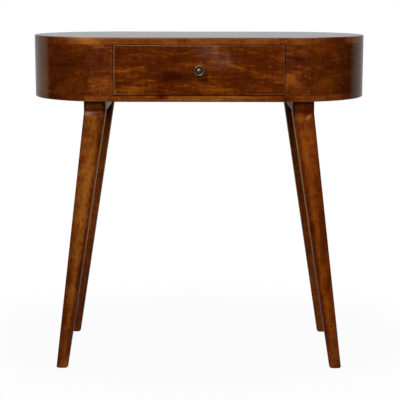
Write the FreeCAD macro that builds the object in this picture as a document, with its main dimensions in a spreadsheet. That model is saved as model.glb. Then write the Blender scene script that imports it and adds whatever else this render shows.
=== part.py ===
"""Racetrack-plan console table with one drawer and four splayed legs, in millimetres.

The front faces -Y, the width runs along X and the feet stand on Z = 0.
"""
import FreeCAD, Part
import math
import os
import Sketcher

# Driving sizes, each of which can be changed by itself
SIZES = {
    # Case
    "table_height": 793,
    "case_depth": 400,
    "case_height": 147.5,
    "top_board_thickness": 16,
    "bottom_board_thickness": 14.5,
    "wall_thickness": 24,
    "edge_bevel": 1.5,
    "stile_flat": 2,
    "stile_angle": 16.6,
    "upper_joint_angle": 74,
    "lower_joint_angle": 98,
    # Drawer
    "drawer_opening_width": 396,
    "drawer_reveal": 1.6,
    "drawer_front_thickness": 20,
    "drawer_front_rounding": 2,
    "drawer_side_thickness": 12,
    "drawer_side_set_in": 5,
    "drawer_back_thickness": 12,
    "drawer_back_space": 44,
    "drawer_back_top_gap": 10,
    "drawer_bottom_thickness": 5,
    "drawer_bottom_height": 8,
    "housing_depth": 8,
    "groove_depth": 5,
    # Fits
    "running_clearance": 0.3,
    "guide_clearance": 0.8,
    "kicker_clearance": 1.2,
    "stop_clearance": 0.3,
    "panel_clearance": 0.1,
    "tenon_clearance": 0.1,
    "bolt_clearance": 0.3,
    "socket_clearance": 1.75,
    "thread_clearance": 0.1,
    "strip_end_gap": 3,
    # Strips and blocks round the drawer
    "guide_width": 20,
    "guide_height": 20,
    "kicker_width": 18,
    "kicker_height": 31.5,
    "kicker_set_in": 1.5,
    "stop_length": 20,
    "stop_width": 24,
    "stop_height": 18,
    "batten_length": 300,
    "batten_width": 16,
    "batten_height": 20,
    "batten_set_back": 58,
    # Knob
    "knob_projection": 22,
    "knob_diameter": 24,
    "knob_stem_diameter": 11,
    "knob_stem_length": 13.5,
    "knob_rim_width": 3.4,
    "knob_rim_bevel": 1.2,
    "knob_rim_drop": 1,
    "knob_groove_width": 3,
    "knob_groove_depth": 2.8,
    "knob_bore_depth": 9,
    "knob_screw_diameter": 4,
    "knob_screw_bite": 8,
    "knob_screw_head_diameter": 8,
    "knob_screw_head_height": 2.6,
    # Legs
    "leg_end_distance": 156,
    "leg_set_back": 59,
    "foot_spread_width": 86,
    "foot_spread_depth": 18,
    "knee_width": 50.5,
    "foot_width": 27.2,
    "knee_corner_radius": 7,
    "foot_corner_radius": 5,
    "collar_height": 29,
    "knee_step": 1.75,
    "knee_bevel_height": 4,
    "foot_bevel": 2.5,
    # Leg rails and their fixings
    "rail_thickness": 24,
    "rail_set_in": 3,
    "tenon_length": 18,
    "tenon_thickness": 10,
    "tenon_height": 15,
    "bolt_diameter": 6,
    "bolt_head_corners": 11.5,
    "bolt_head_height": 4,
    "bolt_recess": 10,
    "bolt_end_distance": 40,
    "insert_diameter": 9,
    "insert_cover": 2.5,
}

SIDES = {"left": -1, "right": 1}
ENDS = {"front": -1, "back": 1}
COURSES = ("lower", "upper")
SAME_LEVEL = 1e-6

doc = FreeCAD.newDocument("console_table")
sheet = doc.addObject("Spreadsheet::Sheet", "dim")
for row, (alias, size) in enumerate(SIZES.items(), start=1):
    sheet.set(f"A{row}", alias)
    sheet.set(f"B{row}", str(size))
    sheet.setAlias(f"B{row}", alias)
doc.recompute()

# Places that follow from the driving sizes, as expressions
CASE_FLOOR = "(dim.table_height - dim.case_height)"
DRAWER_FLOOR = f"({CASE_FLOOR} + dim.bottom_board_thickness)"
TOP_UNDERSIDE = "(dim.table_height - dim.top_board_thickness)"
OPENING_HEIGHT = "(dim.case_height - dim.top_board_thickness - dim.bottom_board_thickness)"
COURSE_HEIGHT = f"({OPENING_HEIGHT} / 2)"
END_RADIUS = "(dim.case_depth / 2)"
FLAT_HALF = "(dim.drawer_opening_width / 2 + dim.stile_flat)"
# The case stands behind the origin by half the knob, so that knob and case together are centred
CASE_CENTRE = "(dim.knob_projection / 2)"
# Depths are measured from the middle of the case
FRONT_FACE = f"(-{END_RADIUS})"
BACK_INSIDE = f"({END_RADIUS} - dim.wall_thickness)"
STRIP_SETBACK = "(max(dim.wall_thickness; dim.drawer_front_thickness) + dim.strip_end_gap)"
STRIP_FRONT = f"({FRONT_FACE} + {STRIP_SETBACK})"
STRIP_BACK = f"({BACK_INSIDE} - dim.strip_end_gap)"
# The drawer box
SIDE_OUTSIDE = "(dim.drawer_opening_width / 2 - dim.drawer_side_set_in)"
SIDE_INSIDE = f"({SIDE_OUTSIDE} - dim.drawer_side_thickness)"
SIDE_BOTTOM = f"({DRAWER_FLOOR} + dim.running_clearance)"
SIDE_HEIGHT = f"({OPENING_HEIGHT} - dim.running_clearance - dim.kicker_clearance - dim.kicker_height)"
SIDE_FRONT = f"({FRONT_FACE} + dim.drawer_front_thickness - dim.housing_depth)"
DRAWER_END = f"({BACK_INSIDE} - dim.drawer_back_space)"
PANEL_UNDERSIDE = f"({SIDE_BOTTOM} + dim.drawer_bottom_height)"
PANEL_TOP = f"({PANEL_UNDERSIDE} + dim.drawer_bottom_thickness)"
KNOB_HEIGHT = f"({DRAWER_FLOOR} + {OPENING_HEIGHT} / 2)"
# The leg frames
KNEE_X = f"({FLAT_HALF} + {END_RADIUS} - dim.leg_end_distance)"
KNEE_Y = f"({END_RADIUS} - dim.leg_set_back)"
RAIL_HALF_LENGTH = f"({KNEE_Y} - dim.knee_width / 2)"
RAIL_X = f"({KNEE_X} - dim.knee_width / 2 + dim.rail_set_in + dim.rail_thickness / 2)"
BOLT_Y = f"({RAIL_HALF_LENGTH} - dim.bolt_end_distance)"
INSERT_LENGTH = "(dim.bottom_board_thickness - dim.insert_cover)"
INSERT_SEAT_RADIUS = "(dim.insert_diameter / 2 + dim.thread_clearance)"


def number(expression):
    """The present value of an expression."""
    return float(sheet.evalExpression(expression))


def bind(thing, **sizes):
    """Ties properties of an object to expressions."""
    for name, expression in sizes.items():
        thing.setExpression(name, expression)
    return thing


def place(thing, x="0", y="0", z="0", turn=None):
    """Puts an object at a point measured from the middle of the case, turned about Z where asked."""
    bind(thing, **{"Placement.Base.x": x, "Placement.Base.y": f"{y} + {CASE_CENTRE}", "Placement.Base.z": z})
    if turn:
        bind(thing, **{"Placement.Rotation.Angle": turn})
    return thing


def tip_forward(thing):
    """Turns an object's own Z axis to the front of the table."""
    thing.Placement = FreeCAD.Placement(FreeCAD.Vector(), FreeCAD.Rotation(FreeCAD.Vector(1, 0, 0), 90))
    return thing


def mirrored_span(sign, near, far):
    """The low and high end of a stretch that runs from near to far on one side of the middle."""
    if sign > 0:
        return near, far
    return f"-({far})", f"-({near})"


def new_body(label, x="0", y="0", z="0", turn=None):
    body = doc.addObject("PartDesign::Body", label)
    body.Label = label
    return place(body, x, y, z, turn)


def new_sketch(body, name, plane="XY_Plane", lift="0", shift=("0", "0")):
    """An empty sketch on one of the body's own planes, moved along and away from that plane."""
    sketch = body.newObject("Sketcher::SketchObject", name)
    support = next(o for o in body.Origin.OriginFeatures if o.Role == plane)
    sketch.AttachmentSupport = [(support, "")]
    sketch.MapMode = "FlatFace"
    bind(sketch, **{"AttachmentOffset.Base.x": shift[0], "AttachmentOffset.Base.y": shift[1]})
    return bind(sketch, **{"AttachmentOffset.Base.z": lift})


def tie(sketch, kind, expression, *where):
    """Adds one dimension to a sketch and binds it to an expression."""
    index = sketch.addConstraint(Sketcher.Constraint(kind, *where, number(expression)))
    name = f"size_{index}"
    sketch.renameConstraint(index, name)
    sketch.setExpression(f"Constraints.{name}", expression)


def tie_point(sketch, geometry, point, x, y):
    """Holds a point of a sketch at two expressions from the sketch's origin."""
    for kind, expression, axis in (("DistanceX", x, -2), ("DistanceY", y, -1)):
        if expression == "0":
            sketch.addConstraint(Sketcher.Constraint("PointOnObject", geometry, point, axis))
        else:
            tie(sketch, kind, expression, -1, 1, geometry, point)


def crown(start, end, radius):
    """The middle of the short arc from start to end that bulges to the right of the way walked."""
    half = (end - start).Length / 2
    outward = FreeCAD.Vector(end.y - start.y, start.x - end.x, 0).normalize()
    rise = radius - math.sqrt(max(radius * radius - half * half, 0))
    return (start + end) * 0.5 + outward * rise


def draw(sketch, steps):
    """Draws a closed outline, walked anticlockwise.

    A step (x, y) is the end of a straight line, and (x, y, radius) is the end of an arc.
    """
    ends = [FreeCAD.Vector(number(step[0]), number(step[1]), 0) for step in steps]
    first = sketch.GeometryCount
    for index, step in enumerate(steps):
        start, end = ends[index - 1], ends[index]
        if len(step) == 2:
            sketch.addGeometry(Part.LineSegment(start, end))
        else:
            sketch.addGeometry(Part.Arc(start, crown(start, end, number(step[2])), end))
    for index, step in enumerate(steps):
        here = first + index
        after = first + (index + 1) % len(steps)
        sketch.addConstraint(Sketcher.Constraint("Coincident", here, 2, after, 1))
        tie_point(sketch, here, 2, step[0], step[1])
        if len(step) == 3:
            tie(sketch, "Radius", step[2], here)
    return sketch


def draw_circles(sketch, centres, radius):
    for x, y in centres:
        middle = FreeCAD.Vector(number(x), number(y), 0)
        index = sketch.addGeometry(Part.Circle(middle, FreeCAD.Vector(0, 0, 1), number(radius)))
        tie_point(sketch, index, 3, x, y)
        tie(sketch, "Radius", radius, index)
    return sketch


def rectangle(left, bottom, right, top):
    return [(right, bottom), (right, top), (left, top), (left, bottom)]


def rounded_rectangle(left, bottom, right, top, radius):
    return [
        (f"{right} - {radius}", bottom),
        (right, f"{bottom} + {radius}", radius),
        (right, f"{top} - {radius}"),
        (f"{right} - {radius}", top, radius),
        (f"{left} + {radius}", top),
        (left, f"{top} - {radius}", radius),
        (left, f"{bottom} + {radius}"),
        (f"{left} + {radius}", bottom, radius),
    ]


def racetrack():
    """The plan of the table: a flat front and back with full round ends."""
    tip = f"{FLAT_HALF} + {END_RADIUS}"
    return [
        (FLAT_HALF, f"-{END_RADIUS}"),
        (tip, "0", END_RADIUS),
        (FLAT_HALF, END_RADIUS, END_RADIUS),
        (f"-{FLAT_HALF}", END_RADIUS),
        (f"-({tip})", "0", END_RADIUS),
        (f"-{FLAT_HALF}", f"-{END_RADIUS}", END_RADIUS),
    ]


def pad(body, sketch, length, backwards=False):
    feature = body.newObject("PartDesign::Pad", "pad")
    feature.Profile = sketch
    feature.Reversed = backwards
    return bind(feature, Length=length)


def pocket(body, sketch, depth, along_normal=False):
    """Cuts a sketch into its body, and makes sure that something was cut."""
    doc.recompute()
    before = body.Shape.Volume
    feature = body.newObject("PartDesign::Pocket", "pocket")
    feature.Profile = sketch
    feature.Reversed = along_normal
    bind(feature, Length=depth)
    doc.recompute()
    if body.Shape.Volume >= before:
        raise RuntimeError(f"{body.Label}: a pocket cuts nothing")
    return feature


def revolve(body, sketch, angle="360", backwards=False):
    feature = body.newObject("PartDesign::Revolution", "turned")
    feature.Profile = sketch
    feature.ReferenceAxis = (sketch, ["V_Axis"])
    feature.Reversed = backwards
    return bind(feature, Angle=angle)


def loft(body, lower, upper):
    feature = body.newObject("PartDesign::AdditiveLoft", "loft")
    feature.Profile = lower
    feature.Sections = [upper]
    feature.Ruled = True
    return feature


def rim_edges(feature, axis, height):
    """The names of a feature's edges that lie in one plane across an axis."""
    doc.recompute()
    names = []
    for index, edge in enumerate(feature.Shape.Edges, start=1):
        if all(abs(getattr(vertex, axis) - number(height)) < SAME_LEVEL for vertex in edge.Vertexes):
            names.append(f"Edge{index}")
    return names


def round_edges(body, feature, axis, height, radius):
    fillet = body.newObject("PartDesign::Fillet", "rounding")
    fillet.Base = (feature, rim_edges(feature, axis, height))
    return bind(fillet, Radius=radius)


def bevel_edges(body, feature, axis, height, size):
    chamfer = body.newObject("PartDesign::Chamfer", "bevel")
    chamfer.Base = (feature, rim_edges(feature, axis, height))
    return bind(chamfer, Size=size)


def box(label, x, y, z, length, width, height):
    solid = doc.addObject("Part::Box", label)
    solid.Label = label
    bind(solid, Length=length, Width=width, Height=height)
    return place(solid, x, y, z)


def cylinder(radius, height, x, y, z, forward=False):
    solid = doc.addObject("Part::Cylinder", "round_bar")
    bind(solid, Radius=radius, Height=height)
    if forward:
        tip_forward(solid)
    return place(solid, x, y, z)


def hexagon(corner_radius, height, x, y, z):
    solid = doc.addObject("Part::Prism", "hexagon_bar")
    bind(solid, Circumradius=corner_radius, Height=height)
    return place(solid, x, y, z)


def fuse(label, *solids):
    result = doc.addObject("Part::MultiFuse", label)
    result.Label = label
    result.Shapes = solids
    return result


def cut_out(label, base, tool):
    result = doc.addObject("Part::Cut", label)
    result.Base = base
    result.Tool = tool
    return result


def group(label, solids):
    """Identical loose pieces under one name."""
    result = doc.addObject("Part::Compound", label)
    result.Label = label
    result.Links = solids
    return result


# Case


def insert_centres():
    return [(f"{sx} * {RAIL_X}", f"{sy} * {BOLT_Y}") for sx in (-1, 1) for sy in (-1, 1)]


def make_top_board():
    body = new_body("top_board", z=TOP_UNDERSIDE)
    board = pad(body, draw(new_sketch(body, "plan"), racetrack()), "dim.top_board_thickness")
    bevel_edges(body, board, "Z", "dim.top_board_thickness", "dim.edge_bevel")
    return body


def make_bottom_board():
    body = new_body("bottom_board", z=CASE_FLOOR)
    board = pad(body, draw(new_sketch(body, "plan"), racetrack()), "dim.bottom_board_thickness")
    bevel_edges(body, board, "Z", "0", "dim.edge_bevel")
    seats = draw_circles(new_sketch(body, "insert_seats"), insert_centres(), INSERT_SEAT_RADIUS)
    pocket(body, seats, INSERT_LENGTH, along_normal=True)
    return body


def wall_block(label, side, course, start, sweep, flat=None):
    """A block of the wall, swept round the end of the case from a start angle off the front.

    A flat length runs on from the start of the sweep towards the drawer.
    """
    sign = SIDES[side]
    height = f"{DRAWER_FLOOR} + {COURSES.index(course)} * {COURSE_HEIGHT}"
    body = new_body(label, x=f"{sign} * {FLAT_HALF}", z=height, turn=f"-90 + {sign} * {start}")
    section = new_sketch(body, "section", "XZ_Plane")
    draw(section, rectangle(f"{END_RADIUS} - dim.wall_thickness", "0", END_RADIUS, COURSE_HEIGHT))
    revolve(body, section, sweep, backwards=sign < 0)
    if flat:
        pad(body, section, flat, backwards=sign < 0)
    return body


def make_wall():
    """Two courses of blocks, with the joints of the ends staggered from course to course."""
    blocks = []
    for course in COURSES:
        joint = f"dim.{course}_joint_angle"
        front_sweep = f"{joint} - dim.stile_angle"
        for side in SIDES:
            name = f"{side}_{course}"
            blocks += [
                wall_block(f"front_stile_{name}", side, course, "0", "dim.stile_angle", "dim.stile_flat"),
                wall_block(f"end_front_{name}", side, course, "dim.stile_angle", front_sweep),
                wall_block(f"end_back_{name}", side, course, joint, f"180 - {joint}"),
            ]
        bottom = f"{DRAWER_FLOOR} + {COURSES.index(course)} * {COURSE_HEIGHT}"
        blocks.append(box(f"back_board_{course}", f"-{FLAT_HALF}", BACK_INSIDE, bottom,
                          f"2 * {FLAT_HALF}", "dim.wall_thickness", COURSE_HEIGHT))
    return blocks


# Strips and stops round the drawer


def strip(label, sign, near, width, bottom, height):
    """A strip from the front of the case to the back, on one side of the drawer."""
    left = mirrored_span(sign, near, f"{near} + {width}")[0]
    return box(label, left, STRIP_FRONT, bottom, width, f"{STRIP_BACK} - {STRIP_FRONT}", height)


def make_strips():
    """Guides on the bottom board keep the drawer straight, kickers under the top keep it level."""
    pieces = []
    for side, sign in SIDES.items():
        pieces += [
            strip(f"drawer_guide_{side}", sign, f"{SIDE_OUTSIDE} + dim.guide_clearance", "dim.guide_width",
                  DRAWER_FLOOR, "dim.guide_height"),
            strip(f"drawer_kicker_{side}", sign, f"{SIDE_INSIDE} + dim.kicker_set_in", "dim.kicker_width",
                  f"{TOP_UNDERSIDE} - dim.kicker_height", "dim.kicker_height"),
        ]
    return pieces


def make_drawer_stops():
    pieces = []
    for side, sign in SIDES.items():
        left = mirrored_span(sign, f"{SIDE_OUTSIDE} - dim.stop_width", SIDE_OUTSIDE)[0]
        pieces.append(box(f"drawer_stop_{side}", left, f"{DRAWER_END} + dim.stop_clearance", DRAWER_FLOOR,
                          "dim.stop_width", "dim.stop_length", "dim.stop_height"))
    return pieces


def make_pull_stop():
    """The batten that the drawer back meets when the drawer is fully open."""
    return box("pull_stop_batten", "-dim.batten_length / 2", f"{FRONT_FACE} + dim.batten_set_back",
               f"{TOP_UNDERSIDE} - dim.batten_height",
               "dim.batten_length", "dim.batten_width", "dim.batten_height")


# Drawer


def make_drawer_front():
    """The flush front, housed for the sides and grooved for the bottom panel on its inside."""
    bottom = f"({DRAWER_FLOOR} + dim.drawer_reveal)"
    half = "(dim.drawer_opening_width / 2 - dim.drawer_reveal)"
    height = f"({OPENING_HEIGHT} - 2 * dim.drawer_reveal)"
    inside = "-dim.drawer_front_thickness"
    body = new_body("drawer_front", y=FRONT_FACE, z=bottom)
    face = draw(new_sketch(body, "face", "XZ_Plane"), rectangle(f"-{half}", "0", half, height))
    board = pad(body, face, "dim.drawer_front_thickness", backwards=True)
    round_edges(body, board, "Y", "0", "dim.drawer_front_rounding")
    housings = new_sketch(body, "housings", "XZ_Plane", lift=inside)
    for sign in SIDES.values():
        left, right = mirrored_span(sign, SIDE_INSIDE, SIDE_OUTSIDE)
        draw(housings, rectangle(left, "0", right, f"{SIDE_BOTTOM} + {SIDE_HEIGHT} - {bottom}"))
    pocket(body, housings, "dim.housing_depth", along_normal=True)
    groove = new_sketch(body, "groove", "XZ_Plane", lift=inside)
    reach = f"({SIDE_INSIDE} + dim.groove_depth + dim.panel_clearance)"
    low = f"{PANEL_UNDERSIDE} - {bottom} - dim.panel_clearance"
    high = f"{PANEL_TOP} - {bottom} + dim.panel_clearance"
    draw(groove, rectangle(f"-{reach}", low, reach, high))
    pocket(body, groove, "dim.groove_depth + dim.panel_clearance", along_normal=True)
    hole = new_sketch(body, "knob_hole", "XZ_Plane", lift=inside)
    centre = ("0", f"{KNOB_HEIGHT} - {bottom}")
    draw_circles(hole, [centre], "dim.knob_screw_diameter / 2 + dim.bolt_clearance")
    pocket(body, hole, "dim.drawer_front_thickness", along_normal=True)
    return body


def make_drawer_side(side):
    """A side with a groove along its inside for the bottom panel."""
    sign = SIDES[side]
    body = new_body(f"drawer_side_{side}", x=f"{sign} * {SIDE_INSIDE}", z=SIDE_BOTTOM)
    face = new_sketch(body, "face", "YZ_Plane")
    draw(face, rectangle(SIDE_FRONT, "0", DRAWER_END, SIDE_HEIGHT))
    pad(body, face, "dim.drawer_side_thickness", backwards=sign < 0)
    groove = new_sketch(body, "groove", "YZ_Plane")
    low = "dim.drawer_bottom_height - dim.panel_clearance"
    high = "dim.drawer_bottom_height + dim.drawer_bottom_thickness + dim.panel_clearance"
    draw(groove, rectangle(SIDE_FRONT, low, DRAWER_END, high))
    pocket(body, groove, "dim.groove_depth + dim.panel_clearance", along_normal=sign > 0)
    return body


def make_drawer_box():
    panel_half = f"({SIDE_INSIDE} + dim.groove_depth)"
    panel_front = f"({FRONT_FACE} + dim.drawer_front_thickness - dim.groove_depth)"
    bottom = box("drawer_bottom", f"-{panel_half}", panel_front, PANEL_UNDERSIDE,
                 f"2 * {panel_half}", f"{DRAWER_END} - {panel_front}", "dim.drawer_bottom_thickness")
    back = box("drawer_back", f"-{SIDE_INSIDE}", f"{DRAWER_END} - dim.drawer_back_thickness", PANEL_TOP,
               f"2 * {SIDE_INSIDE}", "dim.drawer_back_thickness",
               f"{TOP_UNDERSIDE} - dim.drawer_back_top_gap - {PANEL_TOP}")
    return [make_drawer_front(), make_drawer_side("left"), make_drawer_side("right"), back, bottom]


def make_knob():
    """A turned knob: stem, head with a bevelled rim, groove and raised centre."""
    body = place(tip_forward(new_body("drawer_knob")), y=FRONT_FACE, z=KNOB_HEIGHT)
    bore = "dim.knob_screw_diameter / 2 + dim.thread_clearance"
    stem = "dim.knob_stem_diameter / 2"
    head = "dim.knob_diameter / 2"
    rim_inside = f"({head} - dim.knob_rim_width)"
    rim_top = "dim.knob_projection - dim.knob_rim_drop"
    rim_shoulder = f"{rim_top} - dim.knob_rim_bevel"
    groove_floor = f"{rim_top} - dim.knob_groove_depth"
    centre = f"({rim_inside} - dim.knob_groove_width)"
    profile = [
        (stem, "0"),
        (stem, "dim.knob_stem_length"),
        (head, "dim.knob_stem_length"),
        (head, rim_shoulder),
        (f"{head} - dim.knob_rim_bevel", rim_top),
        (rim_inside, rim_top),
        (rim_inside, groove_floor),
        (centre, groove_floor),
        (centre, "dim.knob_projection"),
        ("0", "dim.knob_projection"),
        ("0", "dim.knob_bore_depth"),
        (bore, "dim.knob_bore_depth"),
        (bore, "0"),
    ]
    revolve(body, draw(new_sketch(body, "profile", "XZ_Plane"), profile))
    return body


def make_knob_screw():
    """A screw from inside the drawer, up the middle of the knob."""
    inside = f"({FRONT_FACE} + dim.drawer_front_thickness)"
    length = "dim.drawer_front_thickness + dim.knob_screw_bite"
    shank = cylinder("dim.knob_screw_diameter / 2", length, "0", inside, KNOB_HEIGHT, forward=True)
    head = cylinder("dim.knob_screw_head_diameter / 2", "dim.knob_screw_head_height",
                    "0", f"{inside} + dim.knob_screw_head_height", KNOB_HEIGHT, forward=True)
    return fuse("knob_screw", shank, head)


# Legs and leg rails


def leg_section(body, name, level, half_width, radius, spread=("0", "0")):
    sketch = new_sketch(body, name, lift=f"-({level})", shift=spread)
    return draw(sketch, rounded_rectangle(f"-{half_width}", f"-{half_width}", half_width, half_width, radius))


def make_leg(end, side):
    """A leg with an upright collar, a bevelled knee and a tapered shaft that leans out to its foot."""
    sx = SIDES[side]
    sy = ENDS[end]
    half = "dim.knee_width / 2"
    body = new_body(f"leg_{end}_{side}", x=f"{sx} * {KNEE_X}", y=f"{sy} * {KNEE_Y}", z=CASE_FLOOR)
    collar_low = "(dim.collar_height - dim.knee_bevel_height)"
    rail_face, outer_face = mirrored_span(sy, f"-{half}", f"{half} - dim.knee_step")
    collar = new_sketch(body, "collar", lift=f"-{collar_low}")
    draw(collar, rounded_rectangle(f"-{half}", rail_face, half, outer_face, "dim.knee_corner_radius"))
    pad(body, collar, collar_low)
    knee = leg_section(body, "knee", "dim.collar_height", half, "dim.knee_corner_radius")
    spread = (f"{sx} * dim.foot_spread_width", f"{sy} * dim.foot_spread_depth")
    foot_half = "dim.foot_width / 2"
    foot_level = f"{CASE_FLOOR} - dim.foot_bevel"
    foot = leg_section(body, "foot", foot_level, foot_half, "dim.foot_corner_radius", spread)
    sole_half = "(dim.foot_width / 2 - dim.foot_bevel)"
    sole = leg_section(body, "sole", CASE_FLOOR, sole_half, "dim.foot_corner_radius", spread)
    loft(body, collar, knee)
    loft(body, knee, foot)
    loft(body, foot, sole)
    mortise_top = "-(dim.collar_height - dim.tenon_height) / 2 + dim.tenon_clearance"
    mortise = new_sketch(body, "mortise", lift=mortise_top)
    middle = f"{sx} * ({RAIL_X} - {KNEE_X})"
    reach = "(dim.tenon_thickness / 2 + dim.tenon_clearance)"
    low, high = mirrored_span(sy, f"-{half}", f"-{half} + dim.tenon_length + dim.tenon_clearance")
    draw(mortise, rectangle(f"{middle} - {reach}", low, f"{middle} + {reach}", high))
    pocket(body, mortise, "dim.tenon_height + 2 * dim.tenon_clearance")
    return body


def make_leg_rail(side):
    """A rail between two collars, with a tenon at each end and two recessed bolt holes."""
    body = new_body(f"leg_rail_{side}", x=f"{SIDES[side]} * {RAIL_X}", z=f"{CASE_FLOOR} - dim.collar_height")
    half = "dim.rail_thickness / 2"
    outline = rectangle(f"-{half}", f"-{RAIL_HALF_LENGTH}", half, RAIL_HALF_LENGTH)
    pad(body, draw(new_sketch(body, "plan"), outline), "dim.collar_height")
    tenon_half = "dim.tenon_thickness / 2"
    tip = f"({RAIL_HALF_LENGTH} + dim.tenon_length)"
    tenons = new_sketch(body, "tenons", lift="(dim.collar_height - dim.tenon_height) / 2")
    draw(tenons, rectangle(f"-{tenon_half}", f"-{tip}", tenon_half, tip))
    pad(body, tenons, "dim.tenon_height")
    centres = [("0", f"{sy} * {BOLT_Y}") for sy in ENDS.values()]
    recess_radius = "dim.bolt_head_corners / 2 + dim.socket_clearance"
    recess = draw_circles(new_sketch(body, "recess"), centres, recess_radius)
    pocket(body, recess, "dim.bolt_recess", along_normal=True)
    holes = draw_circles(new_sketch(body, "holes"), centres, "dim.bolt_diameter / 2 + dim.bolt_clearance")
    pocket(body, holes, "dim.collar_height", along_normal=True)
    return body


def make_frame_fixings():
    """Hexagon bolts, up through the rails into threaded inserts in the bottom board."""
    bolts = []
    inserts = []
    seat = f"({CASE_FLOOR} - dim.collar_height + dim.bolt_recess)"
    thread_radius = "dim.bolt_diameter / 2 + dim.thread_clearance"
    for x, y in insert_centres():
        shank = cylinder("dim.bolt_diameter / 2", f"{CASE_FLOOR} + {INSERT_LENGTH} - {seat}", x, y, seat)
        head = hexagon("dim.bolt_head_corners / 2", "dim.bolt_head_height",
                       x, y, f"{seat} - dim.bolt_head_height")
        bolts.append(fuse("frame_bolt", shank, head))
        sleeve = cylinder("dim.insert_diameter / 2", INSERT_LENGTH, x, y, CASE_FLOOR)
        thread = cylinder(thread_radius, INSERT_LENGTH, x, y, CASE_FLOOR)
        inserts.append(cut_out("threaded_insert", sleeve, thread))
    return [group("frame_bolts", bolts), group("threaded_inserts", inserts)]


def make_leg_frames():
    legs = [make_leg(end, side) for end in ENDS for side in SIDES]
    rails = [make_leg_rail(side) for side in SIDES]
    return legs + rails + make_frame_fixings()


def check(thing):
    """Stops the build if an object failed, or its shape is missing or broken."""
    bad = [state for state in thing.State if state in ("Invalid", "Error")]
    if bad:
        raise RuntimeError(f"{thing.Label}: {bad}")


def write(piece):
    shape = piece.Shape
    if shape.isNull() or not shape.isValid() or not shape.Solids:
        raise RuntimeError(f"{piece.Label}: no valid solid")
    shape.exportStep(os.path.join("parts", f"{piece.Label}.step"))


pieces = [
    make_top_board(),
    make_bottom_board(),
    *make_wall(),
    *make_strips(),
    *make_drawer_stops(),
    make_pull_stop(),
    *make_drawer_box(),
    make_knob(),
    make_knob_screw(),
    *make_leg_frames(),
]
doc.recompute()
for thing in doc.Objects:
    check(thing)
os.makedirs("parts", exist_ok=True)
for piece in pieces:
    write(piece)
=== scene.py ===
"""Looks of the oval console table: chestnut-stained wood, an antique metal knob and a white studio."""

from math import cos, pi, radians, sin

import bmesh
import bpy
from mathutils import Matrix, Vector


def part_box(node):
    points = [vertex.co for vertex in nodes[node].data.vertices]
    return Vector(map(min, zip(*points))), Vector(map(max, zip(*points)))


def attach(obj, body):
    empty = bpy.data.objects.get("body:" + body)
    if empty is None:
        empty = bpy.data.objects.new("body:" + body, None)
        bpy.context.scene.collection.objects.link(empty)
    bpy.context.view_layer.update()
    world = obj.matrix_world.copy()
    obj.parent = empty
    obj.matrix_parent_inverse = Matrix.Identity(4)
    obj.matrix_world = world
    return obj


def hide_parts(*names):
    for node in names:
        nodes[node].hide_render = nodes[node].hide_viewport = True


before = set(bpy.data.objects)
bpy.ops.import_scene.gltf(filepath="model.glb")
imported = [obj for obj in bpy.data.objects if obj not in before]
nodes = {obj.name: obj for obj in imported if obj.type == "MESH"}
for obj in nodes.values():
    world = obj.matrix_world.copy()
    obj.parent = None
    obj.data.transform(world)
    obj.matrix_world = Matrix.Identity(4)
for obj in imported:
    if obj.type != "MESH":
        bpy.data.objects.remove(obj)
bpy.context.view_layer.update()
scene = bpy.context.scene
scene.view_settings.view_transform = "Standard"
MM = 0.001
WHITE = "ffffff"


def linear(hex_colour):
    """A written sRGB colour as the linear colour that a socket takes."""
    parts = [int(hex_colour[i:i + 2], 16) / 255 for i in (0, 2, 4)]
    return [p / 12.92 if p <= 0.04045 else ((p + 0.055) / 1.055) ** 2.4 for p in parts] + [1]


def add(tree, kind, inputs=None, **settings):
    """A node with its settings, its plain values and its links."""
    node = tree.nodes.new(kind)
    for name, value in settings.items():
        setattr(node, name, value)
    for socket, value in (inputs or {}).items():
        if isinstance(value, bpy.types.NodeSocket):
            tree.links.new(value, node.inputs[socket])
        else:
            node.inputs[socket].default_value = value
    return node


def new_material(name):
    """An empty node material and its tree."""
    material = bpy.data.materials.new(name)
    material.use_nodes = True
    material.node_tree.nodes.clear()
    return material, material.node_tree


def set_ramp(ramp, stops):
    """The stops of a colour ramp, as (place, written colour)."""
    elements = ramp.color_ramp.elements
    while len(elements) < len(stops):
        elements.new(1)
    for element, (place, colour) in zip(elements, stops):
        element.position = place
        element.color = linear(colour)


def fading_spot(tree, place, centre, reach, tilt):
    """A mask that fades from 1 at a centre to 0 at its reach along each axis, both in mm."""
    spot = add(tree, "ShaderNodeMapping",
               {"Vector": place, "Location": [c * MM for c in centre],
                "Rotation": (0, radians(tilt), 0), "Scale": [r * MM for r in reach]},
               vector_type="TEXTURE")
    fade = add(tree, "ShaderNodeTexGradient", {0: spot.outputs[0]}, gradient_type="QUADRATIC_SPHERE")
    return fade.outputs["Fac"]


def dress(material, *names):
    """Gives the named CAD nodes their finish."""
    for name in names:
        for slot in nodes[name].material_slots:
            slot.material = material


# Wood. Its figure and patches raise or lower its tone, a number that a ramp turns into a colour. Where the
# stain is rubbed thin, and where a highlight is painted on an arris or a knee, that colour goes towards
# the pale tone.
MIDDLE_TONE = 0.48
TONE_STOPS = (0.06, 0.45, 0.92)
# The pale tone of stain rubbed thin, also used for painted highlights.
WEAR_AND_HIGHLIGHT_TONE = "ba8c64"
# Glued staves have this width in mm, and take their wood from up to this far away in metres.
STAVE_WIDTH = 92
STAVE_SHIFT = (0.9, 0.05, 0.35)
# The grain wanders by a few millimetres over a hand's width, in mm.
WANDER_SPAN = 60
WANDER = 14
WANDER_DETAIL = 3
NOISE_MIDDLE = 0.5
NOISE_ROUGHNESS = 0.6
# Sanded wood is rougher where its second layer is light, and it hardly shines by itself. Depths are in mm.
SECOND_LAYER = 1
LAYER_REACH = 0.3
WOOD_ROUGHNESS = (0.35, 0.55)
WOOD_IOR = 1.5
WOOD_SHINE = 0.02
PORE_DEPTH = 0.2
PORE_STRENGTH = 0.3
# Roughness of the lacquer: gloss on the case and the rails, satin on the legs.
GLOSS = 0.06
SATIN = 0.2


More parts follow.
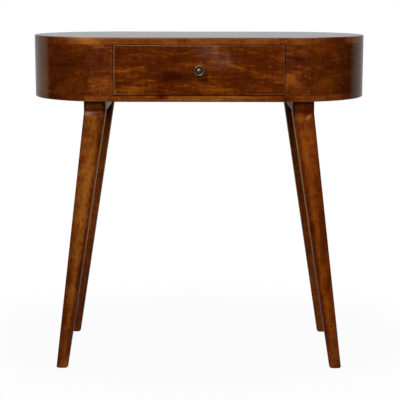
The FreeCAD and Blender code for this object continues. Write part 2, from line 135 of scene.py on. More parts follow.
def from_stave_to_stave(tree, place, width):
    """Places in the wood that jump from stave to stave, so that glued staves differ."""
    parts = add(tree, "ShaderNodeSeparateXYZ", {0: place})
    across = add(tree, "ShaderNodeMath", {0: parts.outputs[1], 1: width * MM}, operation="DIVIDE")
    stave = add(tree, "ShaderNodeMath", {0: across.outputs[0]}, operation="FLOOR")
    pick = add(tree, "ShaderNodeTexWhiteNoise", {"W": stave.outputs[0]}, noise_dimensions="1D")
    shift = add(tree, "ShaderNodeVectorMath", {0: pick.outputs["Color"], 1: STAVE_SHIFT},
                operation="MULTIPLY")
    return add(tree, "ShaderNodeVectorMath", {0: place, 1: shift.outputs[0]}, operation="ADD").outputs[0]


def wandering(tree, place):
    """Places in the wood that are moved a little, so that the grain isn't straight."""
    noise = add(tree, "ShaderNodeTexNoise",
                {"Vector": place, "Scale": 1 / (WANDER_SPAN * MM), "Detail": WANDER_DETAIL})
    centred = add(tree, "ShaderNodeVectorMath", {0: noise.outputs["Color"], 1: [NOISE_MIDDLE] * 3},
                  operation="SUBTRACT")
    shift = add(tree, "ShaderNodeVectorMath", {0: centred.outputs[0], "Scale": WANDER * MM},
                operation="SCALE")
    return add(tree, "ShaderNodeVectorMath", {0: place, 1: shift.outputs[0]}, operation="ADD").outputs[0]


def figure_layer(tree, place, grain, pith, layer, contrast):
    """What one layer of the figure adds to the tone.

    A layer is a noise of (size across the grain in mm, stretch along the grain, detail, low, high, weight),
    of which only the part between low and high counts. One that starts below the noise's middle both darkens
    and lightens the wood.
    """
    size, stretch, detail, low, high, weight = layer
    least, most = (-weight / 2, weight / 2) if low < NOISE_MIDDLE else (0, weight)
    along = add(tree, "ShaderNodeMapping",
                {"Vector": place, "Location": pith, "Scale": (stretch, 1, 1),
                 "Rotation": Vector(grain).to_track_quat("X", "Z").to_euler()},
                vector_type="TEXTURE")
    noise = add(tree, "ShaderNodeTexNoise",
                {"Vector": along.outputs[0], "Scale": 1 / (size * MM), "Detail": detail,
                 "Roughness": NOISE_ROUGHNESS})
    part = add(tree, "ShaderNodeMapRange",
               {"Value": noise.outputs[0], "From Min": low, "From Max": high,
                "To Min": contrast * least, "To Max": contrast * most},
               interpolation_type="SMOOTHSTEP")
    return part.outputs[0]


def wood(name, grain, tones, pith, figure, patches=(), wear_and_highlights=(), staves=0, lacquer=1.0, sheen=GLOSS,
         contrast=1.0):
    """Solid wood, sanded and stained, with a clear coat where it is lacquered.

    A patch is a lighter or darker place of (centre in mm, reach in mm, tilt in degrees, weight). A paler
    place, partly stain rubbed thin and partly a highlight painted on an arris or a knee, is written in the
    same way.
    """
    material, tree = new_material(name)
    place = add(tree, "ShaderNodeTexCoord").outputs["Object"]
    in_wood = wandering(tree, from_stave_to_stave(tree, place, staves) if staves else place)
    layers = [figure_layer(tree, in_wood, grain, pith, layer, contrast) for layer in figure]
    tone = MIDDLE_TONE
    for layer in layers:
        tone = add(tree, "ShaderNodeMath", {0: layer, 1: tone}, operation="ADD").outputs[0]
    for centre, reach, tilt, weight in patches:
        spot = fading_spot(tree, place, centre, reach, tilt)
        tone = add(tree, "ShaderNodeMath", {0: spot, 1: weight, 2: tone},
                   operation="MULTIPLY_ADD").outputs[0]
    ramp = add(tree, "ShaderNodeValToRGB", {0: tone})
    set_ramp(ramp, list(zip(TONE_STOPS, tones)))
    colour = ramp.outputs[0]
    # Stain rubbed thin and painted highlights: the colour goes towards the pale tone.
    for centre, reach, tilt, weight in wear_and_highlights:
        spot = fading_spot(tree, place, centre, reach, tilt)
        share = add(tree, "ShaderNodeMath", {0: spot, 1: weight}, operation="MULTIPLY")
        patchy = add(tree, "ShaderNodeMixRGB", {0: share.outputs[0], 1: colour, 2: linear(WEAR_AND_HIGHLIGHT_TONE)})
        colour = patchy.outputs[0]
    sanded = add(tree, "ShaderNodeMapRange",
                 {"Value": layers[SECOND_LAYER], "From Min": -LAYER_REACH, "From Max": LAYER_REACH,
                  "To Min": WOOD_ROUGHNESS[0], "To Max": WOOD_ROUGHNESS[1]})
    pores = add(tree, "ShaderNodeBump",
                {"Height": layers[-1], "Strength": PORE_STRENGTH, "Distance": PORE_DEPTH * MM})
    shader = add(tree, "ShaderNodeBsdfPrincipled",
                 {"Base Color": colour, "Roughness": sanded.outputs[0], "IOR": WOOD_IOR,
                  "Specular IOR Level": WOOD_SHINE, "Coat Weight": lacquer, "Coat Roughness": sheen,
                  "Normal": pores.outputs[0]})
    add(tree, "ShaderNodeOutputMaterial", {"Surface": shader.outputs[0]})
    return material


# The layers of each figure. Pores are finer in life and are drawn as coarse as they need to show.
CASE_FIGURE = (
    (36, 3, 4, 0.3, 0.7, 0.26),  # broad figure
    (40, 0.24, 2, 0.3, 0.7, 0.14),  # ripple across the grain
    (9, 8, 4, 0.3, 0.7, 0.18),  # streaks
    (9, 1.2, 2, 0.3, 0.7, 0.1),  # mottle
    (7, 9, 3, 0.55, 0.72, 0.34),  # pale flames
    (4, 13, 3, 0.54, 0.72, -0.26),  # dark lines
    (1.4, 14, 1, 0.5, 0.8, -0.24),  # pores
)
LEG_FIGURE = (
    (44, 2.5, 4, 0.3, 0.7, 0.26),  # broad figure
    (34, 0.35, 2, 0.3, 0.7, 0.12),  # ripple across the grain
    (10, 3.5, 4, 0.3, 0.7, 0.2),  # streaks
    (6, 6, 3, 0.56, 0.72, 0.25),  # pale flames
    (3, 5, 3, 0.57, 0.72, -0.36),  # dark flecks
    (1.6, 8, 1, 0.5, 0.8, -0.26),  # pores
)
PLAIN_FIGURE = (
    (36, 4, 3, 0.3, 0.7, 0.3),  # broad figure
    (9, 9, 4, 0.3, 0.7, 0.3),  # streaks
    (1.4, 16, 1, 0.5, 0.8, -0.3),  # pores
)

# Mango wood with a chestnut stain, sanded and lacquered: red-brown with golden streaks, dark where the
# stain soaked in, under a clear coat that mirrors the studio. The tones are dark, middle and light.
DEEP = ("320f02", "522003", "743609")
WARM = ("361001", "562003", "8c4a0c")
STILE = ("3a1307", "5a250a", "904a16")
EDGE = ("451803", "662c07", "9a5c26")
TOP = ("441803", "5f2805", "985a24")
LEG_LEFT = ("3a1104", "5e2607", "96581c")
LEG_RIGHT = ("3c1103", "5e2406", "8c4812")
LEG_BACK = ("3e1804", "662e0a", "8e4c14")

# The case's flat front, a height on the edge of each board, and how deep a patch on the front goes, in mm.
FRONT = round(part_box("drawer_front")[0].y / MM)
TOP_EDGE = 786
BOTTOM_EDGE = 652
PATCH_DEPTH = 60


def on_front(x, z, wide, high, weight, tilt=0):
    """A patch on the flat front: its middle, its reach sideways and up, and its weight."""
    return (x, FRONT, z), (wide, PATCH_DEPTH, high), tilt, weight


# The wall's blocks come from one log: each from another stretch of it, and with its pith in another place,
# which comes round again after a few blocks. All lengths are in metres.
LOG_STRETCH = 0.37
PITH_Y, PITH_Y_STEP, PITH_Y_PLACES = -0.3, 0.05, 3
PITH_Z, PITH_Z_STEP, PITH_Z_PLACES = 0.62, 0.07, 4


def cut_from_log(order):
    """Where the pith lies for one of the wall's blocks, so that no two show the same wood."""
    pith_y = PITH_Y + PITH_Y_STEP * (order % PITH_Y_PLACES)
    pith_z = PITH_Z + PITH_Z_STEP * (order % PITH_Z_PLACES)
    return LOG_STRETCH * order, pith_y, pith_z


# The wall's blocks: the run of the grain in degrees from X, the tones, and the lighter and darker places.
WALL_BLOCKS = {
    "front_stile_left_upper": (0, STILE, [
        on_front(-228, 742, 34, 28, -0.4),
        ((-240, -185, 775), (75, 60, 30), 0, 0.22),
    ]),
    "front_stile_left_lower": (0, STILE, [
        ((-225, FRONT, 690), (110, 110, 120), 0, 0.13),
        on_front(-214, 698, 32, 34, 0.1),
        ((-246, -182, 712), (14, 40, 10), 0, 0.25),
    ]),
    "front_stile_right_upper": (0, STILE, [
        ((235, -185, 725), (45, 60, 9), 8, 0.4),
        ((225, -185, 744), (50, 60, 20), 3, -0.6),
    ]),
    "front_stile_right_lower": (0, STILE, [on_front(212, 698, 40, 36, 0.5)]),
    "end_front_left_upper": (-45, DEEP, [
        ((-290, -165, 775), (70, 80, 26), 0, 0.35),
        ((-310, -140, 726), (120, 140, 24), 0, -0.22),
    ]),
    "end_front_left_lower": (-57, DEEP, [((-285, -165, 690), (60, 70, 60), 0, 0.12)]),
    "end_front_right_upper": (45, DEEP, [((280, -165, 768), (60, 70, 34), 0, 0.4)]),
    "end_front_right_lower": (57, DEEP, [((285, -165, 690), (75, 90, 60), 0, 0.45)]),
    "end_back_left_upper": (53, DEEP, ()),
    "end_back_left_lower": (41, WARM, ()),
    "end_back_right_upper": (-53, DEEP, ()),
    "end_back_right_lower": (-41, WARM, ()),
    "back_board_upper": (0, WARM, ()),
    "back_board_lower": (0, DEEP, ()),
}
for order, (name, (angle, tones, patches)) in enumerate(WALL_BLOCKS.items()):
    run = (cos(radians(angle)), sin(radians(angle)), 0)
    dress(wood("chestnut_stained_" + name, run, tones, cut_from_log(order), CASE_FIGURE, patches), name)

# The drawer front: golden streaks, a dark cloud left of the knob, and pale arrises, partly stain rubbed
# thin and partly a painted highlight where the lacquered arris catches the light.
DRAWER_PATCHES = [
    on_front(-180, 716, 36, 6, 0.6),
    on_front(-182, 695, 28, 5, 0.4),
    on_front(-110, 695, 32, 5, 0.6),
    on_front(-160, 675, 75, 20, 0.5),
    on_front(-60, 702, 65, 24, -0.55, tilt=5),
    on_front(92, 725, 36, 5, 0.6, tilt=14),
    on_front(47, 673, 54, 7, 0.4),
    on_front(156, 672, 44, 8, 0.35),
    on_front(145, 697, 60, 9, -0.25, tilt=3),
    on_front(-70, 752, 90, 12, 0.15),
    on_front(120, 760, 60, 10, 0.25, tilt=-4),
]
# Painted highlights on the drawer front's arrises, with some stain rubbed thin.
DRAWER_ARRISES = [
    on_front(-196, 718, 3.6, 220, 0.6),
    on_front(196, 718, 3, 180, 0.35),
    on_front(-150, 775.4, 420, 3, 0.35),
    on_front(-170, 661.8, 120, 3.6, 0.65),
    on_front(160, 661.8, 70, 3.6, 0.55),
]
front = wood("chestnut_stained_drawer_front", grain=(1, 0.02, -0.03), tones=WARM, pith=(0.2, -0.14, 0.63),
             figure=CASE_FIGURE, patches=DRAWER_PATCHES, wear_and_highlights=DRAWER_ARRISES)
dress(front, "drawer_front")

# The two boards, glued up from staves, with a quieter figure than the wall. Their edges show as pale bands.
BOARD_CONTRAST = 0.6
TOP_PATCHES = [
    ((-262, -180, TOP_EDGE), (80, 60, 40), 0, 0.62),
    ((235, -185, TOP_EDGE), (45, 60, 40), 0, 0.12),
    on_front(40, TOP_EDGE, 280, 60, 0.06),
    on_front(-32, TOP_EDGE, 45, 24, -0.2),
    ((0, -192, TOP_EDGE), (1200, 60, 200), 0, 0.14),
    ((-380, -60, TOP_EDGE), (90, 160, 60), 0, -0.5),
    ((325, -146, TOP_EDGE), (45, 60, 60), 0, -0.15),
    ((365, -105, TOP_EDGE), (60, 110, 60), 0, 0.35),
]
# Painted highlights on the top's front arris, where the lacquer catches the light from above.
TOP_ARRISES = [((-275, -180, 791), (70, 80, 9), 0, 0.35), on_front(-150, 793, 170, 8, 0.38)]
BOTTOM_PATCHES = [
    ((-248, -180, BOTTOM_EDGE), (45, 60, 40), 0, 0.22),
    ((-340, -100, BOTTOM_EDGE), (140, 160, 60), 0, -0.8),
    on_front(0, BOTTOM_EDGE, 280, 60, 0.2),
    ((370, -60, BOTTOM_EDGE), (90, 110, 40), 0, -0.4),
    ((268, -175, BOTTOM_EDGE), (60, 60, 40), 0, 0.2),
    on_front(-86, 657, 24, 9, -0.9),
    on_front(201, 653, 26, 22, -0.35),
]
top = wood("chestnut_stained_top", grain=(1, 0, 0), tones=TOP, pith=(0.1, -0.1, 0.70), figure=CASE_FIGURE,
           patches=TOP_PATCHES, wear_and_highlights=TOP_ARRISES, staves=STAVE_WIDTH, contrast=BOARD_CONTRAST)
dress(top, "top_board")
bottom = wood("chestnut_stained_bottom", grain=(1, 0, 0), tones=EDGE, pith=(0.5, 0.1, 0.56),
              figure=CASE_FIGURE, patches=BOTTOM_PATCHES, staves=STAVE_WIDTH, contrast=BOARD_CONTRAST)
dress(bottom, "bottom_board")

# The legs: the same stain under a thin satin coat. Their patches are all written as on the right side, with
# X counted outwards from the middle and a tilt, in degrees, that leans outwards with the leg.
FACE_LEAN = 8
ARRIS_LEAN = 9
KNEE_SLANT = 39
LEG_LACQUER = 0.13
LEG_TONES = {"leg_front_left": LEG_LEFT, "leg_front_right": LEG_RIGHT,
             "leg_back_left": LEG_BACK, "leg_back_right": LEG_BACK}
LEG_PATCHES = {
    "leg_front_left": [
        # Painted shading of the rounded leg: paler along the middle of the face, darker beside the inner
        # arris, and a pale inner side that is painted light
        ((287, -158, 310), (36, 60, 1200), FACE_LEAN, 0.28),
        ((287, -158, 250), (20, 60, 700), FACE_LEAN, 0.16),
        ((278, -158, 380), (40, 60, 70), FACE_LEAN, 0.22),
        ((263, -155, 370), (13, 80, 600), ARRIS_LEAN, -0.32),
        ((296, -160, 150), (12, 80, 200), ARRIS_LEAN, -0.25),
        ((249, -135, 420), (30, 30, 700), ARRIS_LEAN, 1.0),
        # Darker towards the foot
        ((318, -165, 110), (70, 80, 230), 0, -0.22),
        # Painted shade: darker at the knee and on the collar's corners, in the case's shadow
        ((244, -155, 621), (80, 60, 16), 0, -0.5),
        ((219, -150, 630), (12, 60, 26), 0, -0.6),
        ((270, -150, 632), (10, 60, 26), 0, -0.4),
    ],
    "leg_front_right": [
        # Painted shading of the rounded leg: paler along the middle of the face, darker beside both arrises,
        # and a pale inner side that is painted light
        ((287, -158, 310), (36, 60, 1200), FACE_LEAN, 0.12),
        ((287, -158, 250), (20, 60, 700), FACE_LEAN, 0.35),
        ((263, -155, 370), (13, 80, 450), ARRIS_LEAN, -0.45),
        ((296, -160, 150), (12, 80, 200), ARRIS_LEAN, -0.45),
        ((294, -158, 340), (16, 60, 170), FACE_LEAN, -0.24),
        ((249, -135, 420), (30, 30, 700), ARRIS_LEAN, 1.0),
        # A dark place low on the face
        ((303, -160, 195), (20, 60, 48), FACE_LEAN, -0.38),
        # Painted light under the knee, where the leg comes out of the case's shadow, with a dark place on
        # either side of the painted glint
        ((256, -155, 560), (50, 70, 90), 0, 0.32),
        ((248, -157, 604), (60, 60, 20), 0, 0.45),
        ((247, -157, 606), (10, 60, 18), 0, -0.35),
        ((269, -156, 611), (10, 60, 14), 0, -0.35),
        # Painted shade: darker at the knee and on the collar's corners, in the case's shadow
        ((244, -155, 634), (90, 60, 12), 0, -0.08),
        ((244, -155, 619), (90, 60, 7), 0, -0.3),
        ((219, -150, 630), (12, 60, 26), 0, -0.4),
        ((270, -150, 630), (10, 60, 26), 0, -0.5),
    ],
    # Painted light on the back legs' upper parts, lifting the case's shadow; the back left one is darker low
    # down.
    "leg_back_left": [((305, 160, 130), (90, 90, 450), 0, -0.32), ((255, 150, 550), (60, 60, 180), 0, 0.6)],
    "leg_back_right": [((265, 150, 480), (60, 60, 160), 0, 0.45)],
}
# Painted highlights: a pale stripe down each front leg's inner arris, where it mirrors the backdrop, and a
# glint on each front knee.
LEG_ARRISES = {
    "leg_front_left": [((248, -150, 420), (6, 80, 480), ARRIS_LEAN, 0.5),
                       ((261, -157, 614), (28, 60, 8), 0, 0.6)],
    "leg_front_right": [((248, -150, 420), (6, 80, 480), ARRIS_LEAN, 0.4),
                        ((256, -157, 608), (16, 60, 6.5), KNEE_SLANT, 0.6)],
    "leg_back_left": [],
    "leg_back_right": [],
}
# A leg's lean from foot to knee, and its collar's place from the middle of the case, in mm.
LEAN_X, LEAN_Y, KNEE_HEIGHT = 86, 18, 616
COLLAR_X, COLLAR_Y, COLLAR_FACE_Y = 244, 141, 166
CASE_MIDDLE_Y = 11
# The pith runs beside the leg's middle, in metres, and each leg takes another stretch of the log.
PITH_ASIDE, PITH_BEHIND, PITH_HEIGHT, PITH_STEP = 0.03, 0.05, 0.6, 0.4


def on_side(patches, side):
    """Patches written for the right side, taken to the side that is -1 for left and 1 for right."""
    return [((x * side, y, z), reach, -tilt * side, weight) for (x, y, z), reach, tilt, weight in patches]


for order, (name, tones) in enumerate(LEG_TONES.items()):
    side = -1 if "left" in name else 1
    ahead = -1 if "front" in name else 1
    run = (-LEAN_X * side, -LEAN_Y * ahead, KNEE_HEIGHT)
    pith = (COLLAR_X * MM * side + PITH_ASIDE,
            (CASE_MIDDLE_Y + COLLAR_Y * ahead) * MM + PITH_BEHIND,
            PITH_HEIGHT + PITH_STEP * order)
    # Painted light on the collar close under the case, which lifts the case's shadow there.
    painted_collar_light = ((COLLAR_X, CASE_MIDDLE_Y + COLLAR_FACE_Y * ahead, 640), (80, 60, 14), 0, 0.25)
    dress(wood("chestnut_stained_" + name, run, tones, pith, LEG_FIGURE,
               on_side([painted_collar_light, *LEG_PATCHES[name]], side), on_side(LEG_ARRISES[name], side),
               lacquer=LEG_LACQUER, sheen=SATIN), name)

# The rails between the collars, of the back legs' tone. The left one has the thicker coat.
RAIL_LACQUER = {"leg_rail_left": 0.3, "leg_rail_right": 0.1}
for name, lacquer in RAIL_LACQUER.items():
    rail = wood("chestnut_stained_" + name, grain=(0, 1, 0), tones=LEG_BACK, pith=(0.2, 0, 0.6),
                figure=LEG_FIGURE, lacquer=lacquer)
    dress(rail, name)

# Planed mango wood inside the case: pale brown and dull, with plain streaks and no coat.
RAW = ("8a5a30", "a87844", "c49a62")
raw_along = wood("raw_drawer_wood", grain=(0, 1, 0), tones=RAW, pith=(0.3, 0, 0.62),
                 figure=PLAIN_FIGURE, lacquer=0)
dress(raw_along, "drawer_side_left", "drawer_side_right", "drawer_guide_left", "drawer_guide_right",
      "drawer_kicker_left", "drawer_kicker_right", "drawer_stop_left", "drawer_stop_right")
raw_across = wood("raw_drawer_back_wood", grain=(1, 0, 0), tones=RAW, pith=(0.3, 0.1, 0.62),
                  figure=PLAIN_FIGURE, lacquer=0)
dress(raw_across, "drawer_back", "pull_stop_batten")
# Sanded plywood: paler than the wood around it, and even.
PLY = ("a8794a", "bd9160", "cfa878")
plywood = wood("plywood_panel", grain=(1, 0, 0), tones=PLY, pith=(0.3, 0, 0.3),
               figure=PLAIN_FIGURE, lacquer=0)
dress(plywood, "drawer_bottom")

# Metals. Tarnish lies in patches, and is rougher where it is dark. A grit is the size of the patches in mm.
TARNISH_DETAIL = 4
TARNISH_STOPS = (0.3, 0.7)
FIXING_GRIT = 3
FIXING_ROUGHNESS = (0.47, 0.27)


def fixing_metal(name, dark, light):
    """The metal of a screw, a bolt or an insert, clean but not polished."""
    material, tree = new_material(name)
    place = add(tree, "ShaderNodeTexCoord").outputs["Object"]
    tarnish = add(tree, "ShaderNodeTexNoise",
                  {"Vector": place, "Scale": 1 / (FIXING_GRIT * MM), "Detail": TARNISH_DETAIL})
    colour = add(tree, "ShaderNodeValToRGB", {0: tarnish.outputs[0]})
    set_ramp(colour, list(zip(TARNISH_STOPS, (dark, light))))
    patchy = add(tree, "ShaderNodeMapRange",
               {"Value": tarnish.outputs[0], "To Min": FIXING_ROUGHNESS[0], "To Max": FIXING_ROUGHNESS[1]})
    shader = add(tree, "ShaderNodeBsdfPrincipled",
                 {"Base Color": colour.outputs[0], "Metallic": 1, "Roughness": patchy.outputs[0]})
    add(tree, "ShaderNodeOutputMaterial", {"Surface": shader.outputs[0]})
    return material


# Zinc-plated steel: cool grey with soft highlights.
dress(fixing_metal("zinc_plated_steel", "9a9da0", "c6c8ca"), "knob_screw", "frame_bolts")
# Turned brass: warm yellow, duller in patches.
dress(fixing_metal("brass_insert", "8a6a30", "c09a50"), "threaded_inserts")

# Antique pewter, turned and waxed: dark wax left in the groove, the rim and the dome rubbed bright. The
# tones are by their distance from the knob's axis in mm, from the edge inwards, and run endlessly along it.
# They wander by a small share of the knob's radius.
KNOB_RINGS = ((12, "6e5c4e"), (9, "8c7a6e"), (8.5, "463629"), (6.2, "42322a"), (5.6, "7e7364"),
              (0, "8a7e6e"))
PEWTER_GRIT = 1.5
PEWTER_METALLIC = 0.85
PEWTER_ROUGHNESS = (0.56, 0.4)
RING_WANDER = 0.03
ENDLESS = 100


def turned_pewter(name, axis_height, reach):
    """Antique pewter on a turned knob, ringed round an axis along Y out to a reach in mm."""
    material, tree = new_material(name)
    place = add(tree, "ShaderNodeTexCoord").outputs["Object"]
    tarnish = add(tree, "ShaderNodeTexNoise",
                  {"Vector": place, "Scale": 1 / (PEWTER_GRIT * MM), "Detail": TARNISH_DETAIL})
    spot = add(tree, "ShaderNodeMapping",
               {"Vector": place, "Location": (0, 0, axis_height),
                "Scale": (reach * MM, ENDLESS, reach * MM)},
               vector_type="TEXTURE")
    inward = add(tree, "ShaderNodeTexGradient", {0: spot.outputs[0]}, gradient_type="SPHERICAL")
    uneven = add(tree, "ShaderNodeMapRange",
                 {"Value": tarnish.outputs[0], "To Min": -RING_WANDER, "To Max": RING_WANDER})
    ring = add(tree, "ShaderNodeMath", {0: inward.outputs["Fac"], 1: uneven.outputs[0]}, operation="ADD")
    colour = add(tree, "ShaderNodeValToRGB", {0: ring.outputs[0]})
    set_ramp(colour, [(1 - radius / reach, tone) for radius, tone in KNOB_RINGS])
    patchy = add(tree, "ShaderNodeMapRange",
               {"Value": tarnish.outputs[0], "To Min": PEWTER_ROUGHNESS[0], "To Max": PEWTER_ROUGHNESS[1]})
    shader = add(tree, "ShaderNodeBsdfPrincipled",
                 {"Base Color": colour.outputs[0], "Metallic": PEWTER_METALLIC,
                  "Roughness": patchy.outputs[0]})
    add(tree, "ShaderNodeOutputMaterial", {"Surface": shader.outputs[0]})
    return material


def arc(centre, radius, start, end, steps):
    """Points on an arc of a turned profile, from one angle in degrees to another."""
    angles = [radians(start + (end - start) * i / steps) for i in range(steps + 1)]
    return [(centre[0] + radius * cos(a), centre[1] + radius * sin(a)) for a in angles]


def object_from(mesh, name):
    """A scene object at the origin from a finished bmesh, which is freed."""
    data = bpy.data.meshes.new(name)
    mesh.to_mesh(data)
    mesh.free()
    made = bpy.data.objects.new(name, data)
    scene.collection.objects.link(made)
    return made


# The knob, turned finer than the solid. Radii and heights above the drawer's face are in mm.
STEM_RADIUS = 5.5
STEM_HEIGHT = 11.9
HEAD_RADIUS = 12
HEAD_BACK = 13.5
HEAD_FILLET = 1.4
HEAD_ROUNDING = 1.5
BEAD_RADIUS = 1.7
BEAD_TOP = 21
GROOVE_OUTSIDE = 8.6
GROOVE_INSIDE = 5.6
GROOVE_FLOOR = 17.9
GROOVE_ROUNDING = 0.7
DOME_RADIUS = 7.1
DOME_TOP = 22
DOME_EDGE_ANGLE = 38
KNOB_STEPS = 64
MERGE_DISTANCE = 0.01

groove_wall = GROOVE_FLOOR + GROOVE_ROUNDING
knob_profile = [
    (STEM_RADIUS, 0), (STEM_RADIUS, STEM_HEIGHT),
    *arc((STEM_RADIUS + HEAD_FILLET, HEAD_BACK - HEAD_FILLET), HEAD_FILLET, 180, 90, 4),
    *arc((HEAD_RADIUS - HEAD_ROUNDING, HEAD_BACK + HEAD_ROUNDING), HEAD_ROUNDING, -90, 0, 6),
    *arc((HEAD_RADIUS - BEAD_RADIUS, BEAD_TOP - BEAD_RADIUS), BEAD_RADIUS, 0, 180, 14),
    *arc((GROOVE_OUTSIDE - GROOVE_ROUNDING, groove_wall), GROOVE_ROUNDING, 0, -90, 4),
    *arc((GROOVE_INSIDE + GROOVE_ROUNDING, groove_wall), GROOVE_ROUNDING, 270, 180, 4),
    *arc((0, DOME_TOP - DOME_RADIUS), DOME_RADIUS, DOME_EDGE_ANGLE, 90, 10),
]
knob_low, knob_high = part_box("drawer_knob")
knob_z = (knob_low.z + knob_high.z) / 2
face_y = knob_high.y
mesh = bmesh.new()
ring = [mesh.verts.new((r * MM, face_y - h * MM, knob_z)) for r, h in knob_profile]
edges = [mesh.edges.new(pair) for pair in zip(ring, ring[1:])]
bmesh.ops.spin(mesh, geom=ring + edges, cent=(0, face_y, knob_z), axis=(0, 1, 0), angle=2 * pi,
               steps=KNOB_STEPS, use_merge=True)
bmesh.ops.remove_doubles(mesh, verts=mesh.verts, dist=MERGE_DISTANCE * MM)
bmesh.ops.recalc_face_normals(mesh, faces=mesh.faces)
for face in mesh.faces:
    face.smooth = True
knob = object_from(mesh, "turned_knob")
knob.data.materials.append(turned_pewter("antique_pewter", knob_z, HEAD_RADIUS))
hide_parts("drawer_knob")
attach(knob, "drawer")

# The studio's floor: a sheet of white paper, matt and even, that lies a hair under the feet. It shows white,
# a little greyer round the table, and mirrored rays see it dimmer. Sizes and places are in metres.
SHEET_REACH = (1.5, 0.75, 1)
SHEET_MIDDLE = (0, 0.25, -0.0002)
SHADOW_MIDDLE = (0, 0.1, 0)
SHADOW_REACH = (0.95, 0.7, 1)
SHADOW_FULL = 0.6
SHADOW_WHITE = 0.955
MIRRORED_WHITE = 0.35
PAPER_TONE = "7c7c7c"


def seen_or_through(tree, path):
    """1 for the rays that come from the camera or through glass."""
    return add(tree, "ShaderNodeMath",
               {0: path.outputs["Is Camera Ray"], 1: path.outputs["Is Transmission Ray"]},
               operation="MAXIMUM").outputs[0]


mesh = bmesh.new()
bmesh.ops.create_grid(mesh, x_segments=2, y_segments=2, size=1)
bmesh.ops.scale(mesh, vec=SHEET_REACH, verts=mesh.verts)
bmesh.ops.translate(mesh, vec=SHEET_MIDDLE, verts=mesh.verts)
floor = object_from(mesh, "studio_floor")
sheet, tree = new_material("white_paper_floor")
path = add(tree, "ShaderNodeLightPath")
spread = add(tree, "ShaderNodeMapping",
             {"Vector": add(tree, "ShaderNodeTexCoord").outputs["Object"], "Location": SHADOW_MIDDLE,
              "Scale": SHADOW_REACH}, vector_type="TEXTURE")
near = add(tree, "ShaderNodeTexGradient", {0: spread.outputs[0]}, gradient_type="SPHERICAL")
shadow = add(tree, "ShaderNodeMapRange",
             {"Value": near.outputs["Fac"], "From Max": SHADOW_FULL, "To Min": 1, "To Max": SHADOW_WHITE},
             interpolation_type="SMOOTHERSTEP")
shown = add(tree, "ShaderNodeMath",
            {0: path.outputs["Is Glossy Ray"], 1: MIRRORED_WHITE, 2: seen_or_through(tree, path)},
            operation="MULTIPLY_ADD")
lift = add(tree, "ShaderNodeMath", {0: shown.outputs[0], 1: shadow.outputs[0]}, operation="MULTIPLY")
paper = add(tree, "ShaderNodeBsdfDiffuse", {"Color": linear(PAPER_TONE)})
white = add(tree, "ShaderNodeEmission", {"Color": linear(WHITE), "Strength": 1})
mixed = add(tree, "ShaderNodeMixShader", {0: lift.outputs[0], 1: paper.outputs[0], 2: white.outputs[0]})
add(tree, "ShaderNodeOutputMaterial", {"Surface": mixed.outputs[0]})
floor.data.materials.append(sheet)

# What the lacquer mirrors, by degrees from straight behind the table towards its right: a pale backdrop, and
# the dark room by the camera.
BACKDROP = ((-75, "161616"), (-67, "bfa686"), (-30, "b2b2b4"), (0, "b7bdc0"), (20, "aeb1b6"),
            (45, "a59d99"), (60, "938a80"), (72, "161616"))
# Low down behind the sheet lies a pale wooden floor. It fades in between these slopes and headings, which
# are the direction's Z and Y, and the white ceiling fades in between its own slopes.
FLOORBOARDS = "ffd2a0"
FLOOR_SLOPES = (-0.105, -0.125)
FLOOR_HEADINGS = (0.85, 0.95)
CEILING_SLOPES = (0.7, 0.95)

world = bpy.data.worlds.new("studio")
scene.world = world
world.use_nodes = True
tree = world.node_tree
tree.nodes.clear()
direction = add(tree, "ShaderNodeTexCoord").outputs["Generated"]
parts = add(tree, "ShaderNodeSeparateXYZ", {0: direction})
azimuth = add(tree, "ShaderNodeMath", {0: parts.outputs[0], 1: parts.outputs[1]}, operation="ARCTAN2")
round_about = add(tree, "ShaderNodeMapRange",
                  {"Value": azimuth.outputs[0], "From Min": -pi, "From Max": pi})
backdrop = add(tree, "ShaderNodeValToRGB", {0: round_about.outputs[0]})
set_ramp(backdrop, [((degrees + 180) / 360, colour) for degrees, colour in BACKDROP])
below = add(tree, "ShaderNodeMapRange",
            {"Value": parts.outputs[2], "From Min": FLOOR_SLOPES[0], "From Max": FLOOR_SLOPES[1]})
behind = add(tree, "ShaderNodeMapRange",
             {"Value": parts.outputs[1], "From Min": FLOOR_HEADINGS[0], "From Max": FLOOR_HEADINGS[1]})
boards = add(tree, "ShaderNodeMath", {0: below.outputs[0], 1: behind.outputs[0]}, operation="MULTIPLY")
surroundings = add(tree, "ShaderNodeMixRGB",
                   {0: boards.outputs[0], 1: backdrop.outputs[0], 2: linear(FLOORBOARDS)})
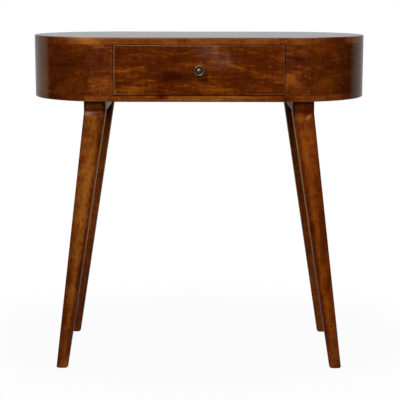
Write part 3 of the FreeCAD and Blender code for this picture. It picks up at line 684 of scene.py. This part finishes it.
# Rays to the camera and through glass see plain white, and mirrored rays see it overhead.
path = add(tree, "ShaderNodeLightPath")
ceiling = add(tree, "ShaderNodeMapRange",
              {"Value": parts.outputs[2], "From Min": CEILING_SLOPES[0], "From Max": CEILING_SLOPES[1]})
mirrored = add(tree, "ShaderNodeMath", {0: path.outputs["Is Glossy Ray"], 1: ceiling.outputs[0]},
               operation="MULTIPLY")
shown = add(tree, "ShaderNodeMath", {0: seen_or_through(tree, path), 1: mirrored.outputs[0]},
            operation="MAXIMUM")
graded = add(tree, "ShaderNodeBackground", {"Color": surroundings.outputs[0], "Strength": 1})
white = add(tree, "ShaderNodeBackground", {"Color": linear(WHITE), "Strength": 1})
mixed = add(tree, "ShaderNodeMixShader", {0: shown.outputs[0], 1: graded.outputs[0], 2: white.outputs[0]})
add(tree, "ShaderNodeOutputWorld", {"Surface": mixed.outputs[0]})

# The lamps, as (place, size, watts) in metres, all turned to the table's middle. The two small ones by the
# camera are mirrored as a pale haze on the drawer front, and the fill and the back one aren't mirrored.
SOFTBOXES = {
    "key_softbox": ((-1.06, -2.5, 2.7), (1.08, 1.0), 74),
    "fill_softbox": ((0.9, -3.2, 1.6), (1.6, 1.0), 48),
    "top_softbox": ((0.3, -0.7, 2.7), (2.4, 1.2), 16),
    "camera_window": ((0.035, -2.9, 0.63), (0.09, 0.05), 0.0068),
    "camera_glint": ((0.10, -2.9, 0.585), (0.09, 0.05), 0.007),
    "back_softbox": ((0.0, 2.8, 2.4), (1.6, 1.2), 28),
}
UNMIRRORED = ("fill_softbox", "back_softbox")
TABLE_MIDDLE = Vector((0, 0, 0.5))
for name, (spot, size, watts) in SOFTBOXES.items():
    lamp = bpy.data.lights.new(name, "AREA")
    lamp.shape = "RECTANGLE"
    lamp.size, lamp.size_y = size
    lamp.energy = watts
    softbox = bpy.data.objects.new(name, lamp)
    softbox.location = spot
    softbox.rotation_euler = (TABLE_MIDDLE - Vector(spot)).to_track_quat("-Z", "Y").to_euler()
    softbox.visible_camera = False
    softbox.visible_glossy = name not in UNMIRRORED
    scene.collection.objects.link(softbox)

# The camera, fitted to the photo's outlines: its place in metres, its turns in degrees and its lens in mm.
CAMERA_PLACE = (0.0026, -2.985, 0.901)
CAMERA_DIP, CAMERA_ROLL, CAMERA_SWING = 9.82, -0.08, 0.014
SENSOR_WIDTH = 36
LENS = 109.5
camera = bpy.data.objects.new("camera", bpy.data.cameras.new("camera"))
camera.location = CAMERA_PLACE
camera.rotation_euler = (radians(90 - CAMERA_DIP), radians(CAMERA_ROLL), radians(CAMERA_SWING))
camera.data.sensor_width = SENSOR_WIDTH
camera.data.lens = LENS
scene.collection.objects.link(camera)
scene.camera = camera
